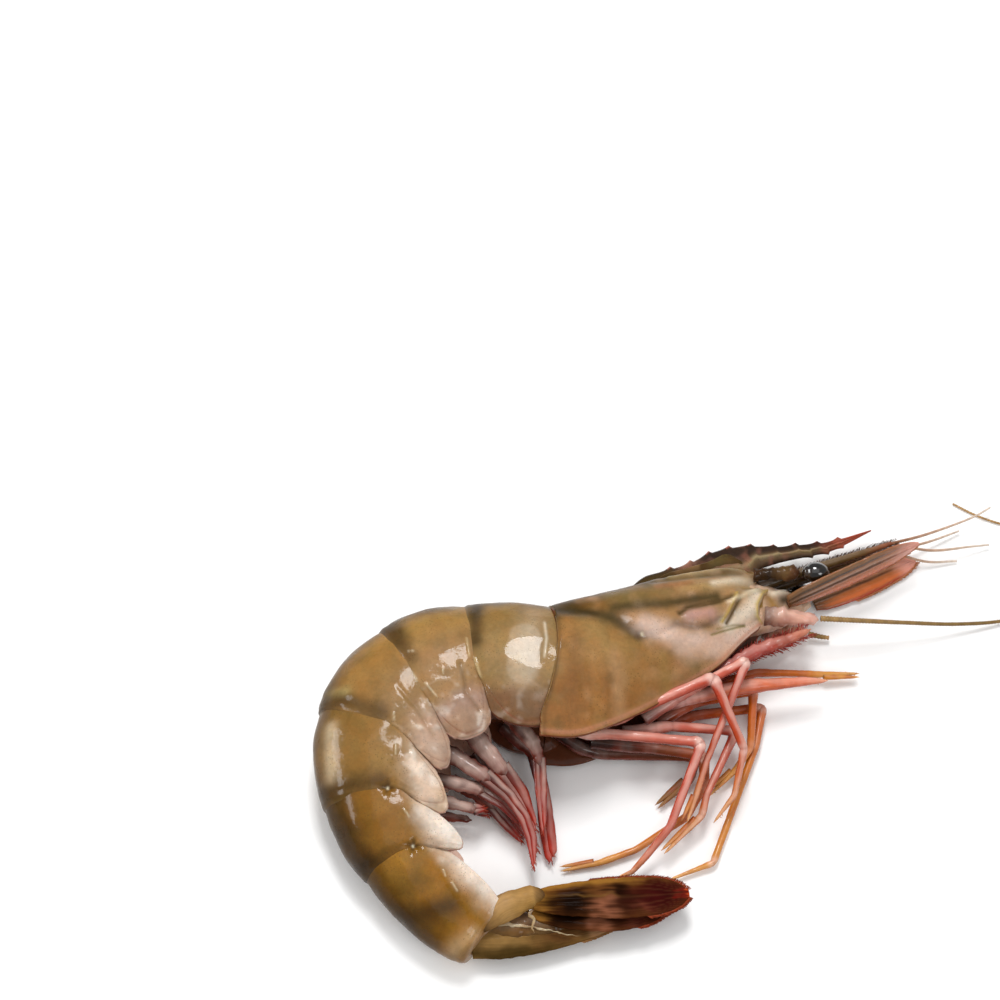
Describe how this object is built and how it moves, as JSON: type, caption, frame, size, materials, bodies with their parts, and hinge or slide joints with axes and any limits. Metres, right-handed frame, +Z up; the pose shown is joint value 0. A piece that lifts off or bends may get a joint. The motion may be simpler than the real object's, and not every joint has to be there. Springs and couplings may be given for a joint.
{
  "type": "raw tiger prawn",
  "caption": "Raw whole tiger prawn with head and shell on, curled and lying on its side, as food on a plate, board or counter.",
  "frame": {"origin": "middle of the bounding box, at the surface the prawn lies on", "axes": "+X towards the head's side, along the longest extent; +Y towards the back of the head; +Z up, away from the surface it lies on"},
  "size_m": [0.1659, 0.1065, 0.0244],
  "materials": {
    "head_shell": "wet glossy brown-olive shell",
    "tail_shell": "wet glossy olive shell with dark cross bands",
    "leg": "wet pink to orange",
    "paddle": "wet crimson with pale stalks",
    "eyestalk": "mottled dark brown",
    "eye": "glossy black",
    "feeler": "banded brown and orange",
    "whip": "olive-brown thread",
    "fin": "wet, dark brown to red"
  },
  "bodies": {
    "root": {"carapace": "head_shell", "abdomen_1": "tail_shell", "abdomen_2": "tail_shell", "abdomen_3": "tail_shell", "abdomen_4": "tail_shell", "abdomen_5": "tail_shell", "abdomen_6": "tail_shell", "leg_right_5": "leg", "leg_right_4": "leg", "leg_right_3": "leg", "leg_right_2": "leg", "leg_right_1": "leg", "leg_left_5": "leg", "leg_left_4": "leg", "leg_left_3": "leg", "leg_left_2": "leg", "leg_left_1": "leg", "jaw_leg_right": "leg", "jaw_leg_left": "leg", "antenna_base_right": "leg", "antenna_base_left": "leg", "paddle_right_1": "paddle", "paddle_right_2": "paddle", "paddle_right_3": "paddle", "paddle_right_4": "paddle", "paddle_right_5": "paddle", "paddle_left_1": "paddle", "paddle_left_2": "paddle", "paddle_left_3": "paddle", "paddle_left_4": "paddle", "paddle_left_5": "paddle", "eyestalk_right": "eyestalk", "eyestalk_left": "eyestalk", "eye_right": "eye", "eye_left": "eye", "feeler_right": "feeler", "feeler_left": "feeler", "feeler_scale_right": "feeler", "feeler_scale_left": "feeler", "whip_right": "whip", "whip_left": "whip", "fin_base_right": "fin", "fin_base_left": "fin", "fin_outer_right": "fin", "fin_inner_right": "fin", "fin_inner_left": "fin", "fin_outer_left": "fin", "tail_spike": "fin"}
  },
  "joints": []
}
